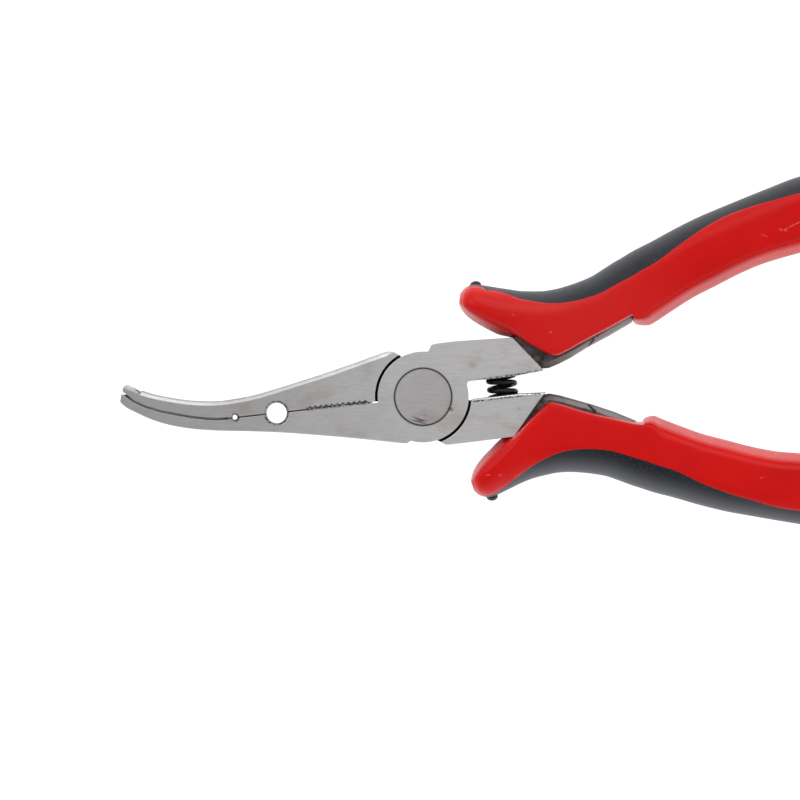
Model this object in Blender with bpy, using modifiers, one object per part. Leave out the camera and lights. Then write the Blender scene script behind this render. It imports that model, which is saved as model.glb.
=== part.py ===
"""Bent-nose, spring-return pliers with two-colour moulded grips, closed and lying flat.

Metres, +Z up. The origin is on the pivot axis at the rear face of the rivet. +X runs to the
handle ends, the nose lies at -X, and +Y is the side of the handle that the front half carries.
Outlines are written in millimetres, seen from above, and MM turns them into metres.
"""
import math

import bmesh
import bpy
from mathutils import Matrix, Vector

MM = 0.001

# Joint
HEAD_THICKNESS = 8.5 * MM
MIDDLE = HEAD_THICKNESS / 2
LAP_GAP = 0.1 * MM
DISC_RADIUS = 8.2
ARC_WALL_RADIUS = 8.7
RIVET_HEAD_RADIUS = 5.1 * MM
RIVET_HEAD_DEPTH = 1.4 * MM
SHANK_RADIUS = 2.8 * MM
RIVET_GAP = 0.1 * MM

# Jaws
TAPER_START = -9.0 * MM
TIP_X = -54.4 * MM
TIP_THICKNESS_SHARE = 0.5
JAW_GAP = 0.24
NOSE_GAP = 0.38
TEETH_FIRST, TEETH_LAST, TEETH = -10.0, -21.0, 11
MEETING_END = -9.5
TOOTH_HEIGHT = 0.5
GRIP_HOLE = (-26.58 * MM, 0.0, 1.85 * MM)
COUNTERSINK = 0.32 * MM
PIN_HOLE = (-34.19 * MM, 0.1 * MM, 0.47 * MM)
# The meeting faces lean, so that no light passes straight through the closed jaws
JAW_LEAN = 0.6 * MM
LOWER_JAW_ROUND, UPPER_JAW_BEVEL = 0.35 * MM, 0.8 * MM
# A hollow ground into the upper jaw's outer corner at the nose: its place and direction on
# the corner, half its length, its radius across, its depth and its lean from the vertical
NOSE_HOLLOW_PLACE, NOSE_HOLLOW_TURN = (-52.5, 7.85), -26
NOSE_HOLLOW_REACH, NOSE_HOLLOW_RADIUS = 7.8 * MM, 3.0 * MM
NOSE_HOLLOW_DEPTH, NOSE_HOLLOW_TILT = 0.45 * MM, 28

# Necks and tangs
TANG_THICKNESS = 6.1 * MM
TANG_CHAMFER = 1.1 * MM
NICK_LENGTH, NICK_WIDTH = 1.9 * MM, 0.4 * MM
SPRING_X = 14.4 * MM
SPRING_RADIUS = 2.4 * MM
SPRING_WIRE_RADIUS = 0.43 * MM
SPRING_TURNS = 5.5
POCKET_RADIUS = 3.1 * MM
POCKET_DEPTH = 2.7 * MM
UPPER_SLOT, LOWER_SLOT = 1.95, -1.35
SLOT_CHAMFER = 0.35 * MM

# Grips
GRIP_HALF_THICKNESS = 6.5
GAP = 0.3
LOWER_GRIP_SLIDE = (-1.1, 0.35)

STEEL = (0.45, 0.44, 0.43, 1)
RED = (0.60, 0.015, 0.015, 1)
GREY = (0.055, 0.062, 0.075, 1)
BLACK = (0.012, 0.011, 0.012, 1)

# Lower jaw, from the joint's step along its outer edge to the nose
LOWER_JAW_EDGE = [(-3.87, -8.03), (-6.5, -7.5), (-12.2, -6.25), (-19.2, -4.85), (-26.3, -3.55),
                  (-31.7, -2.75), (-36.0, -2.2), (-39.6, -1.65), (-42.8, -0.98), (-45.95, -0.05),
                  (-49.05, 1.25), (-52.07, 3.05), (-53.6, 4.1), (-54.44, 5.09)]
# Upper jaw, from the joint's step along its outer edge to the nose
UPPER_JAW_EDGE = [(-5.3, 8.86), (-6.9, 8.58), (-10.6, 7.67), (-16.2, 6.38), (-21.75, 5.24),
                  (-27.3, 4.16), (-31.0, 3.58), (-35.9, 3.3), (-39.1, 3.55), (-42.25, 4.07),
                  (-45.4, 4.9), (-48.5, 5.9), (-51.9, 7.5), (-52.86, 8.06)]
# Where the jaws meet, from the nose to the straight part
PARTING_CURVE = [(-53.5, 6.45), (-51.9, 4.9), (-50.0, 3.75), (-47.3, 2.6), (-44.2, 1.65),
                 (-41.8, 0.95), (-39.4, 0.4), (-37.4, 0.1), (-35.4, 0.0)]

# Necks, +Y on the front half and -Y on the rear half: outer edge from the joint to the slant
# where the ground face ends, then the edge of the spring's slot back to the joint
UPPER_NECK_OUTER = [(1.84, 8.1), (2.5, 9.15), (3.2, 9.32), (6.05, 9.36), (13.1, 9.06), (17.2, 8.86)]
UPPER_NECK_INNER = [(22.1, 2.35), (17.7, 1.98), (12.5, 1.87), (8.75, 1.95), (8.35, 1.84), (8.15, 1.5)]
LOWER_NECK_OUTER = [(1.76, -8.1), (3.1, -9.0), (3.9, -9.07), (11.1, -8.97), (15.5, -8.92)]
LOWER_NECK_INNER = [(22.0, -1.6), (17.4, -1.27), (9.0, -1.35), (8.35, -1.6)]
# Tangs: root inside the neck, outer edge to the handle's end, and inner edge back to the root
UPPER_TANG_OUTER = [(15.8, 8.0), (19.2, 9.5), (23.5, 9.6), (28.0, 10.0), (33.0, 11.8), (38.0, 14.0),
                    (44.0, 17.2), (52.0, 21.0), (60.0, 23.8), (68.0, 25.6), (76.0, 26.6)]
UPPER_TANG_HELD = [(76.0, 22.6), (68.0, 21.6), (60.0, 19.6), (52.0, 16.6), (46.0, 14.0),
                   (41.4, 12.0), (39.6, 11.0)]
UPPER_TANG_BARE = [(38.9, 9.2), (34.4, 7.2), (30.6, 5.7), (27.4, 4.15), (25.1, 3.27),
                   (23.2, 2.7), (19.6, 2.75)]
LOWER_TANG_OUTER = [(14.0, -8.3), (18.0, -9.1), (22.4, -9.2), (27.0, -9.7), (32.0, -11.4),
                    (37.0, -13.6), (43.0, -16.8), (51.0, -20.6), (59.0, -23.4), (67.0, -25.2),
                    (75.0, -26.2)]
LOWER_TANG_HELD = [(75.0, -22.2), (67.0, -21.2), (59.0, -19.2), (51.0, -16.2), (45.0, -13.6),
                   (40.4, -11.6), (38.6, -10.6)]
LOWER_TANG_BARE = [(37.6, -8.4), (34.1, -6.5), (30.2, -4.7), (27.1, -3.45), (24.6, -2.45),
                   (22.8, -1.9), (19.2, -2.0)]
# A small filed nick across each tang's bare edge, as x, y and turn in degrees
UPPER_NICK, LOWER_NICK = (31.1, 6.35, 47), (30.0, -5.4, -50)

# Grip rungs, from the horn to the handle's end: outer edge x, y and inner edge x, y at mid
# thickness, depth of the rounding on the inner side, and share of the full thickness
GRIP_RUNGS = [
    (8.75, 17.90, 8.30, 15.90, 0.9, 0.55), (9.80, 18.80, 8.95, 14.40, 2.6, 0.86),
    (11.30, 19.25, 10.30, 12.85, 3.1, 0.97), (13.10, 18.85, 12.30, 11.30, 3.3, 1.0),
    (15.20, 18.25, 14.70, 9.75, 3.2, 1.0), (17.30, 17.70, 17.30, 8.75, 2.2, 1.0),
    (19.40, 17.15, 20.20, 6.85, 1.2, 1.0), (21.50, 16.85, 22.70, 5.25, 0.8, 1.0),
    (23.70, 16.65, 24.50, 4.45, 0.8, 1.0), (25.90, 16.75, 26.70, 5.05, 0.8, 1.0),
    (28.10, 17.10, 29.40, 6.20, 0.8, 1.0), (30.30, 17.60, 32.30, 7.35, 0.8, 1.0),
    (32.60, 18.30, 35.20, 8.50, 0.8, 1.0), (34.90, 19.40, 38.20, 9.75, 0.8, 1.0),
    (36.20, 20.05, 39.30, 10.10, 0.8, 1.0), (36.90, 20.40, 39.60, 8.90, 1.4, 1.0),
    (38.50, 21.10, 41.80, 8.40, 2.6, 1.0), (40.80, 22.15, 43.60, 9.05, 3.4, 1.0),
    (44.00, 23.35, 46.50, 10.55, 3.4, 1.0), (48.50, 25.20, 50.50, 12.50, 3.4, 1.0),
    (53.00, 26.85, 54.80, 14.15, 3.4, 1.0), (57.50, 28.20, 59.00, 15.75, 3.4, 1.0),
    (62.00, 29.50, 63.20, 17.05, 3.4, 1.0), (66.50, 30.75, 67.20, 17.85, 3.4, 1.0),
    (71.00, 31.95, 71.30, 18.50, 3.4, 1.0), (76.00, 32.70, 75.80, 19.10, 3.4, 1.0),
    (81.00, 33.00, 80.40, 19.65, 3.4, 1.0), (86.00, 32.70, 85.00, 19.85, 3.4, 1.0),
    (91.00, 31.70, 89.60, 19.60, 3.4, 1.0), (95.50, 30.10, 93.80, 18.90, 3.4, 1.0),
    (98.60, 28.20, 97.00, 19.15, 2.8, 0.96), (100.20, 26.60, 99.30, 20.90, 2.4, 0.84),
    (100.75, 25.20, 100.45, 22.90, 0.9, 0.55)]
# How the lower grip's first rungs differ: shifts of the outer and the inner edge
LOWER_GRIP_SHIFTS = [
    (-0.30, 0.45, -0.30, 0.45), (-0.25, 0.50, -0.25, 0.20), (0, 0.45, -0.20, 0), (0, 0.35, -0.20, -0.20),
    (0, 0.20, -0.35, -0.40), (0, 0, -0.50, -0.60), (0, 0, -0.56, -0.69), (0, 0, -0.65, -0.75),
    (0, 0, -0.72, -0.89), (0, 0, -0.60, -0.80), (0, 0, -0.30, -0.65), (0, 0, 0, -0.60),
    (0, 0, 0.20, -0.70), (0, 0, 0.50, -0.85), (0, 0, 0.85, -0.95), (0, 0, 0.85, -0.35),
    (0, 0, 0.35, -0.10)]
LOWER_NUB_SHIFT = (-0.10, 0.60)
OUTER_ROUNDING = 5.3
OUTER_POWER = 2.2
# Share of the inner rounding's depth and of the height that the drafted wall takes
WALL_DEPTH_SHARE, WALL_HEIGHT_SHARE = 0.5, 0.75
# How far the inlay reaches over each face, as rung and width
INLAY_FRONT = [(2, 0.35), (4, 0.8), (7, 2.1), (10, 3.0), (13, 3.6), (17, 3.9), (18, 3.7),
               (19, 3.0), (20, 2.3), (21, 1.8), (22, 2.0), (23, 2.5), (24, 3.0), (26, 3.6),
               (28, 2.6), (29, 1.2)]
INLAY_BACK = [(2, 0.35), (4, 1.1), (7, 3.0), (10, 4.3), (13, 4.8), (17, 5.0), (18, 4.8),
              (19, 4.0), (20, 3.4), (21, 2.9), (22, 2.4), (23, 2.5), (24, 3.0), (26, 3.6),
              (28, 2.6), (29, 1.2)]
INLAY_FIRST, INLAY_LAST = 1.5, 29.0
INLAY_DEPTH = 2.6
# A soft nub on the inlay at the horn: x, y and its half width, height and length
NUB_PLACE, NUB_SIZE = (11.65, 19.0), (1.05, 0.78, 1.1)


def collection(name):
    """A new collection in the scene."""
    made = bpy.data.collections.new(name)
    bpy.context.scene.collection.children.link(made)
    return made


def material(name, colour, roughness, metallic=0.0):
    """A Principled material."""
    made = bpy.data.materials.new(name)
    made.use_nodes = True
    shader = made.node_tree.nodes["Principled BSDF"]
    shader.inputs["Base Color"].default_value = colour
    shader.inputs["Roughness"].default_value = roughness
    shader.inputs["Metallic"].default_value = metallic
    return made


def spline_value(values, position):
    """Smooth curve through equally spaced values, each a Vector, at a fractional position."""
    last = len(values) - 1
    start = min(int(position), last - 1)
    part = position - start
    before, here = values[max(start - 1, 0)], values[start]
    there, after = values[start + 1], values[min(start + 2, last)]
    return 0.5 * (2 * here + (there - before) * part
                  + (2 * before - 5 * here + 4 * there - after) * part ** 2
                  + (3 * here - before - 3 * there + after) * part ** 3)


def smooth_line(points, steps):
    """The points with a smooth curve through them, `steps` pieces to a span."""
    values = [Vector(point) for point in points]
    count = (len(points) - 1) * steps
    return [tuple(spline_value(values, i / steps)) for i in range(count + 1)]


def arc(radius, first, last, steps):
    """Points on a circle about the pivot, from one angle in degrees to another."""
    angles = [math.radians(first + (last - first) * i / steps) for i in range(steps + 1)]
    return [(radius * math.cos(angle), radius * math.sin(angle)) for angle in angles]


def parting_line(side):
    """The meeting edge of one jaw, nose to joint: side is +1 for the upper, -1 for the lower."""
    nose = []
    for (x, y), (next_x, next_y) in zip(PARTING_CURVE, PARTING_CURVE[1:]):
        normal = Vector((-(next_y - y), next_x - x)).normalized() * side * NOSE_GAP / 2
        nose.append((x + normal.x, y + normal.y))
    straight = side * JAW_GAP / 2
    line = smooth_line(nose, 2) + [(-35.4, straight), (TEETH_LAST - 0.3, straight)]
    pitch = (TEETH_FIRST - TEETH_LAST) / TEETH
    for tooth in range(TEETH):
        root = TEETH_LAST + tooth * pitch
        line += [(root, straight), (root + pitch / 2, straight + TOOTH_HEIGHT)]
    return line + [(TEETH_FIRST, straight), (MEETING_END, straight)]


def front_outline():
    """Lower jaw, disc and upper neck."""
    seam = -JAW_GAP / 2
    nose = [(-54.05, 6.42), (-53.8, 6.4)]
    return (smooth_line(LOWER_JAW_EDGE, 2) + nose + parting_line(-1)[1:]
            + [(-math.sqrt(DISC_RADIUS ** 2 - seam ** 2), seam)] + arc(DISC_RADIUS, 178, 80, 24)
            + UPPER_NECK_OUTER + UPPER_NECK_INNER + arc(DISC_RADIUS, 8, -112, 28))


def rear_outline():
    """Upper jaw, disc and lower neck."""
    seam = JAW_GAP / 2
    nose = [(-53.4, 7.8), (-53.7, 7.39), (-53.78, 6.9)]
    return (smooth_line(UPPER_JAW_EDGE, 2) + nose + parting_line(1)[1:]
            + [(-math.sqrt(DISC_RADIUS ** 2 - seam ** 2), seam)] + arc(DISC_RADIUS, -178, -80, 24)
            + LOWER_NECK_OUTER + LOWER_NECK_INNER + arc(DISC_RADIUS, -9, 112, 28)
            + [(-3.3, 7.9), (-4.25, 8.6)])


def grown(outline, distance):
    """A closed outline moved outwards by a distance."""
    area = sum(x1 * y2 - x2 * y1 for (x1, y1), (x2, y2) in zip(outline, outline[1:] + outline[:1]))
    outward = distance if area > 0 else -distance
    result = []
    for i, point in enumerate(outline):
        ahead = (Vector(outline[(i + 1) % len(outline)]) - Vector(point)).normalized()
        behind = (Vector(point) - Vector(outline[i - 1])).normalized()
        across = Vector((ahead.y + behind.y, -ahead.x - behind.x)).normalized()
        lean = max(across.dot(Vector((ahead.y, -ahead.x))), 0.5)
        result.append(tuple(Vector(point) + across * outward / lean))
    return result


def flat_plate(name, outline, low, high, into):
    """A plate with the outline between two heights, made from a filled 2D curve."""
    flat = bpy.data.curves.new(name, "CURVE")
    flat.dimensions = "2D"
    flat.fill_mode = "BOTH"
    flat.extrude = (high - low) / 2
    spline = flat.splines.new("POLY")
    spline.points.add(len(outline) - 1)
    for point, (x, y) in zip(spline.points, outline):
        point.co = (x * MM, y * MM, 0, 1)
    spline.use_cyclic_u = True
    drawn = bpy.data.objects.new(name, flat)
    drawn.location.z = (low + high) / 2
    into.objects.link(drawn)
    bpy.context.view_layer.update()
    evaluated = drawn.evaluated_get(bpy.context.evaluated_depsgraph_get())
    mesh = bpy.data.meshes.new_from_object(evaluated)
    mesh.transform(drawn.matrix_world)
    bpy.data.objects.remove(drawn)
    shape = bmesh.new()
    shape.from_mesh(mesh)
    bmesh.ops.remove_doubles(shape, verts=shape.verts, dist=0.001 * MM)
    bmesh.ops.dissolve_limit(shape, angle_limit=math.radians(0.2), verts=shape.verts,
                             edges=shape.edges)
    bmesh.ops.recalc_face_normals(shape, faces=shape.faces)
    shape.to_mesh(mesh)
    shape.free()
    plate = bpy.data.objects.new(name, mesh)
    into.objects.link(plate)
    return plate


def line_distance(point, start, end):
    """Distance from a point to a straight stretch."""
    length = (end - start).length
    along = min(length, max(0.0, (point - start).dot(end - start) / length))
    return (point - start - (end - start) * along / length).length


def chamfer_edge(plate, edge_points, width):
    """Round the top and bottom rims of a plate along a run of outline points."""
    run = [Vector((x * MM, y * MM)) for x, y in edge_points]
    shape = bmesh.new()
    shape.from_mesh(plate.data)

    def on_run(vertex):
        return any(line_distance(vertex.co.xy, *ends) < 0.01 * MM for ends in zip(run, run[1:]))

    rims = [edge for edge in shape.edges
            if (edge.verts[0].co.xy - edge.verts[1].co.xy).length > 0.01 * MM
            and on_run(edge.verts[0]) and on_run(edge.verts[1])]
    bmesh.ops.bevel(shape, geom=rims, offset=width, offset_type="OFFSET", segments=2,
                    profile=0.5, affect="EDGES", clamp_overlap=False)
    shape.to_mesh(plate.data)
    shape.free()


def shape_jaw(plate, meeting_edge):
    """Lean the meeting face, and thin the jaw evenly from the joint to the nose."""
    meeting = [Vector((x * MM, y * MM)) for x, y in meeting_edge]
    shape = bmesh.new()
    shape.from_mesh(plate.data)
    bmesh.ops.bisect_plane(shape, geom=shape.verts[:] + shape.edges[:] + shape.faces[:],
                           plane_co=(TAPER_START, 0, 0), plane_no=(1, 0, 0), dist=0.001 * MM)
    for vertex in shape.verts:
        if min((vertex.co.xy - point).length for point in meeting) < 0.001 * MM:
            vertex.co.y += JAW_LEAN * (1 - vertex.co.z / HEAD_THICKNESS)
        along = max(0.0, (TAPER_START - vertex.co.x) / (TAPER_START - TIP_X))
        share = 1 - (1 - TIP_THICKNESS_SHARE) * along
        vertex.co.z = MIDDLE + (vertex.co.z - MIDDLE) * share
    shape.to_mesh(plate.data)
    shape.free()


def cylinder(name, radius, low, high, into, place=(0, 0), turn=None, sides=64, top_radius=None):
    """An upright cylinder or cone between two heights, or turned about its middle."""
    mesh = bpy.data.meshes.new(name)
    shape = bmesh.new()
    bmesh.ops.create_cone(shape, cap_ends=True, segments=sides, radius1=radius,
                          radius2=radius if top_radius is None else top_radius,
                          depth=high - low)
    shape.to_mesh(mesh)
    shape.free()
    made = bpy.data.objects.new(name, mesh)
    made.location = (place[0], place[1], (low + high) / 2)
    if turn:
        made.rotation_euler = turn
    into.objects.link(made)
    return made


def bar(name, size, place, turn, into):
    """A box turned about the vertical."""
    mesh = bpy.data.meshes.new(name)
    shape = bmesh.new()
    bmesh.ops.create_cube(shape, size=1.0)
    bmesh.ops.scale(shape, vec=size, verts=shape.verts)
    shape.to_mesh(mesh)
    shape.free()
    made = bpy.data.objects.new(name, mesh)
    made.location = place
    made.rotation_euler = (0, 0, math.radians(turn))
    into.objects.link(made)
    return made


def combine(target, other, operation):
    """Cut another shape out of a target, or join it on, with an exact Boolean."""
    other.hide_render = True
    other.display_type = "WIRE"
    modifier = target.modifiers.new(other.name, "BOOLEAN")
    modifier.operation = operation
    modifier.solver = "EXACT"
    modifier.object = other


def cut(target, cutter):
    """Take a cutter out of a target."""
    combine(target, cutter, "DIFFERENCE")


def nose_hollow(cutters):
    """A long egg shape along the upper jaw's outer corner at the nose."""
    turn, tilt = math.radians(NOSE_HOLLOW_TURN), math.radians(NOSE_HOLLOW_TILT)
    x, y = NOSE_HOLLOW_PLACE
    thinned = (TAPER_START - x * MM) / (TAPER_START - TIP_X) * (1 - TIP_THICKNESS_SHARE)
    away = NOSE_HOLLOW_RADIUS - NOSE_HOLLOW_DEPTH
    outward = away * math.sin(tilt)
    place = (x * MM - outward * math.sin(turn), y * MM + outward * math.cos(turn),
             MIDDLE * (2 - thinned) + away * math.cos(tilt))
    mesh = bpy.data.meshes.new("nose_hollow")
    shape = bmesh.new()
    bmesh.ops.create_uvsphere(shape, u_segments=40, v_segments=24, radius=1)
    bmesh.ops.scale(shape, vec=(NOSE_HOLLOW_REACH, NOSE_HOLLOW_RADIUS, NOSE_HOLLOW_RADIUS),
                    verts=shape.verts)
    shape.to_mesh(mesh)
    shape.free()
    egg = bpy.data.objects.new("nose_hollow", mesh)
    egg.location = place
    egg.rotation_euler = (0, 0, turn)
    cutters.objects.link(egg)
    return egg


def steel_half(name, outline, tang_outline, side, slot, nick, into, cutters):
    """One forged half: side is +1 where its disc is the upper one."""
    half = flat_plate(name, outline, 0, HEAD_THICKNESS, into)
    shape_jaw(half, parting_line(-side)[1:])
    if side > 0:
        chamfer_edge(half, smooth_line(LOWER_JAW_EDGE, 2), LOWER_JAW_ROUND)
    else:
        chamfer_edge(half, smooth_line(UPPER_JAW_EDGE, 2)[:-3], UPPER_JAW_BEVEL)
        chamfer_edge(half, LOWER_NECK_INNER[:3], SLOT_CHAMFER)
    over = 1 * MM
    step = (HEAD_THICKNESS - TANG_THICKNESS) / 2
    tang = flat_plate(name + "_tang", tang_outline, step, HEAD_THICKNESS - step, cutters)
    chamfer_edge(tang, tang_outline[-7:], TANG_CHAMFER)
    combine(half, tang, "UNION")
    x, y, turn = nick
    for height in (step, HEAD_THICKNESS - step):
        cut(half, bar(name + "_nick", (NICK_LENGTH, NICK_WIDTH, 2 * TANG_CHAMFER),
                      (x * MM, y * MM, height), turn, cutters))
    if side > 0:
        low, high = -over, MIDDLE + LAP_GAP / 2
    else:
        low, high = MIDDLE - LAP_GAP / 2, HEAD_THICKNESS + over
    cut(half, cylinder(name + "_lap", ARC_WALL_RADIUS * MM, low, high, cutters))
    cut(half, cylinder(name + "_bore", SHANK_RADIUS + RIVET_GAP, -over, HEAD_THICKNESS + over,
                       cutters, sides=48))
    head = RIVET_HEAD_DEPTH + RIVET_GAP
    low, high = (HEAD_THICKNESS - head, HEAD_THICKNESS + over) if side > 0 else (-over, head)
    cut(half, cylinder(name + "_head_seat", RIVET_HEAD_RADIUS + RIVET_GAP, low, high, cutters))
    for hole_name, (x, y, radius) in (("_grip_hole", GRIP_HOLE), ("_pin_hole", PIN_HOLE)):
        cut(half, cylinder(name + hole_name, radius, -over, HEAD_THICKNESS + over, cutters,
                           (x, y), sides=32 if radius > MM else 12))
    wall = slot * MM
    depth = math.copysign(POCKET_DEPTH, slot)
    pocket = cylinder(name + "_pocket", POCKET_RADIUS, -POCKET_DEPTH / 2 - over / 2,
                      POCKET_DEPTH / 2 + over / 2, cutters, turn=(math.pi / 2, 0, 0), sides=32)
    pocket.location = (SPRING_X, wall + (depth - math.copysign(over, slot)) / 2, MIDDLE)
    cut(half, pocket)
    return half


def countersink(cutters):
    """A cone that opens the lower jaw's side of the grip hole on the front face."""
    x, y, radius = GRIP_HOLE
    thinned = (TAPER_START - x) / (TAPER_START - TIP_X) * (1 - TIP_THICKNESS_SHARE)
    face = MIDDLE + MIDDLE * (1 - thinned)
    return cylinder("countersink", radius - COUNTERSINK, face - 2 * COUNTERSINK,
                    face + COUNTERSINK, cutters, (x, y), sides=32,
                    top_radius=radius + 2 * COUNTERSINK)


def rivet(into):
    """Two flush heads on a thinner shank, turned about the pivot axis."""
    top, seat = HEAD_THICKNESS, RIVET_HEAD_DEPTH
    profile = [(0, top), (RIVET_HEAD_RADIUS, top), (RIVET_HEAD_RADIUS, top - seat),
               (SHANK_RADIUS, top - seat), (SHANK_RADIUS, seat), (RIVET_HEAD_RADIUS, seat),
               (RIVET_HEAD_RADIUS, 0), (0, 0)]
    mesh = bpy.data.meshes.new("pivot_rivet")
    mesh.from_pydata([(x, 0, z) for x, z in profile],
                     [(i, i + 1) for i in range(len(profile) - 1)], [])
    made = bpy.data.objects.new("pivot_rivet", mesh)
    into.objects.link(made)
    turned = made.modifiers.new("turned", "SCREW")
    turned.steps = turned.render_steps = 64
    turned.use_merge_vertices = True
    turned.merge_threshold = 0.00001
    return made


def spring(into):
    """The return spring, its axis along Y between the two pockets."""
    reach = POCKET_DEPTH - 0.25 * MM - SPRING_WIRE_RADIUS
    low, high = LOWER_SLOT * MM - reach, UPPER_SLOT * MM + reach
    steps = int(SPRING_TURNS * 12)
    coil = bpy.data.curves.new("return_spring", "CURVE")
    coil.dimensions = "3D"
    coil.bevel_depth = SPRING_WIRE_RADIUS
    coil.bevel_resolution = 2
    coil.use_fill_caps = True
    spline = coil.splines.new("POLY")
    spline.points.add(steps)
    for i, point in enumerate(spline.points):
        angle = 2 * math.pi * SPRING_TURNS * i / steps
        point.co = (SPRING_X + SPRING_RADIUS * math.cos(angle), low + (high - low) * i / steps,
                    MIDDLE + SPRING_RADIUS * math.sin(angle), 1)
    made = bpy.data.objects.new("return_spring", coil)
    into.objects.link(made)
    return made


def inlay_width(table, rung):
    """Width of the inlay on one face at a fractional rung."""
    for (first, low), (last, high) in zip(table, table[1:]):
        if rung <= last:
            return low + (high - low) * max(0.0, (rung - first) / (last - first))
    return table[-1][1]


def outer_angle(width):
    """The angle on the outer rounding where an inlay of the given width ends."""
    return math.acos((1 - width / OUTER_ROUNDING) ** (OUTER_POWER / 2))


def rounding(angle, depth, height, power):
    """A point on a quarter of a superellipse: distance in from the side, and height."""
    return (depth * (1 - math.cos(angle) ** (2 / power)), height * math.sin(angle) ** (2 / power))


def drafted_wall(depth, height, steps):
    """The inner side of a section: from the top of a leaning wall, round into the face."""
    wall = Vector((depth * WALL_DEPTH_SHARE, height * WALL_HEIGHT_SHARE))
    corner = Vector((depth * WALL_DEPTH_SHARE / WALL_HEIGHT_SHARE, height))
    face = Vector((depth, height))
    shares = [i / steps for i in range(steps + 1)]
    return [tuple(wall * (1 - u) ** 2 + corner * 2 * u * (1 - u) + face * u ** 2) for u in shares]


def grip_rungs(lower):
    """The rungs of one grip."""
    rungs = [Vector(values) for values in GRIP_RUNGS]
    if lower:
        for index, shifts in enumerate(LOWER_GRIP_SHIFTS):
            rungs[index] += Vector((*shifts, 0, 0))
    return rungs


def section(rungs, rung, shell, pocket_open):
    """One cross-section of a grip, as (distance from the inner edge, height) points.

    The shell's outline holds a pocket for the inlay on its outer side; where there is no inlay
    the pocket's points lie on the outer rounding instead.
    """
    values = spline_value(rungs, rung)
    width = math.hypot(values[0] - values[2], values[1] - values[3])
    shrink = min(1.0, width / (OUTER_ROUNDING + values[4] + 0.2))
    height = GRIP_HALF_THICKNESS * values[5]
    inner_depth, outer_depth = values[4] * shrink, OUTER_ROUNDING * shrink
    inner_side, outer_side, pocket_side = [], [], []
    for sign, table in ((1, INLAY_FRONT), (-1, INLAY_BACK)):
        edge = inlay_width(table, rung) + (0 if not shell else GAP)
        end = outer_angle(edge)
        inner = drafted_wall(inner_depth, height, 3)
        inner_side.append([(t, sign * z) for t, z in inner])
        spans = [end + (math.pi / 2 - end) * i / 3 for i in (3, 2, 1, 0)] if shell \
            else [end * i / 3 for i in (3, 2, 1)]
        outer = [rounding(a, outer_depth, height, OUTER_POWER) for a in spans]
        outer_side.append([(width - t, sign * z) for t, z in outer])
        grow = GAP if shell else 0
        brim_t, brim_z = rounding(end, outer_depth, height, OUTER_POWER)
        deep = min(1.0, max(0.0, (edge - 1.0) / 1.5))
        first = (width - max(brim_t - 0.2, 1.6 + grow), brim_z - 0.25 - (1.3 + grow) * deep)
        second = (max(first[0], width - INLAY_DEPTH - grow), first[1] * 0.8)
        closed = [rounding(end * share, outer_depth, height, OUTER_POWER) for share in (0.7, 0.3)]
        points = []
        for (t, z), (closed_t, closed_z) in zip((first, second), closed):
            mixed_t = t * pocket_open + (width - closed_t) * (1 - pocket_open)
            mixed_z = z * pocket_open + closed_z * (1 - pocket_open)
            points.append((mixed_t, sign * mixed_z))
        pocket_side.append(points)
    if shell:
        return ([(0, 0)] + inner_side[0] + outer_side[0] + pocket_side[0]
                + pocket_side[1][::-1] + outer_side[1][::-1] + inner_side[1][::-1])
    return (outer_side[0] + [(width, 0)] + outer_side[1][::-1]
            + pocket_side[1] + pocket_side[0][::-1])


def loft(name, rungs, stations, shell, into):
    """A closed body through the cross-sections of a grip."""
    shape = bmesh.new()
    rings = []
    for rung, pocket_open in stations:
        values = spline_value(rungs, rung)
        inner, outer = Vector((values[2], values[3], 0)), Vector((values[0], values[1], 0))
        across = (outer - inner).normalized()
        rings.append([shape.verts.new((inner + across * t + Vector((0, 0, z))) * MM
                                      + Vector((0, 0, MIDDLE)))
                      for t, z in section(rungs, rung, shell, pocket_open)])
    for ring, following in zip(rings, rings[1:]):
        for i in range(len(ring)):
            j = (i + 1) % len(ring)
            shape.faces.new((ring[i], ring[j], following[j], following[i]))
    shape.faces.new(rings[0])
    shape.faces.new(rings[-1][::-1])
    bmesh.ops.recalc_face_normals(shape, faces=shape.faces)
    mesh = bpy.data.meshes.new(name)
    shape.to_mesh(mesh)
    shape.free()
    made = bpy.data.objects.new(name, mesh)
    into.objects.link(made)
    return made


def nub(prefix, lower, cutters):
    """The rounded nub that stands out of the inlay at the horn."""
    shift = LOWER_NUB_SHIFT if lower else (0, 0)
    x, y = (NUB_PLACE[i] + shift[i] for i in (0, 1))
    mesh = bpy.data.meshes.new(prefix + "_nub")
    shape = bmesh.new()
    bmesh.ops.create_uvsphere(shape, u_segments=16, v_segments=8, radius=MM)
    bmesh.ops.scale(shape, vec=NUB_SIZE, verts=shape.verts)
    bmesh.ops.translate(shape, vec=(x * MM, y * MM, MIDDLE), verts=shape.verts)
    shape.to_mesh(mesh)
    shape.free()
    made = bpy.data.objects.new(prefix + "_nub", mesh)
    cutters.objects.link(made)
    return made


def place_lower(grip):
    """Turn a grip over to the other handle and slide it along its tang."""
    x, y = LOWER_GRIP_SLIDE
    turn = Matrix.Rotation(math.pi, 4, "X")
    grip.matrix_world = (Matrix.Translation((x * MM, y * MM, MIDDLE)) @ turn
                         @ Matrix.Translation((0, 0, -MIDDLE)))


def grip_stations(first, last):
    """Rungs that get a cross-section between two rungs: closer together at the horn."""
    halves = [i / 2 for i in range(2 * len(GRIP_RUNGS)) if i < 36 or i % 2 == 0 or i > 58]
    return [rung for rung in halves if first < rung < last]


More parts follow.
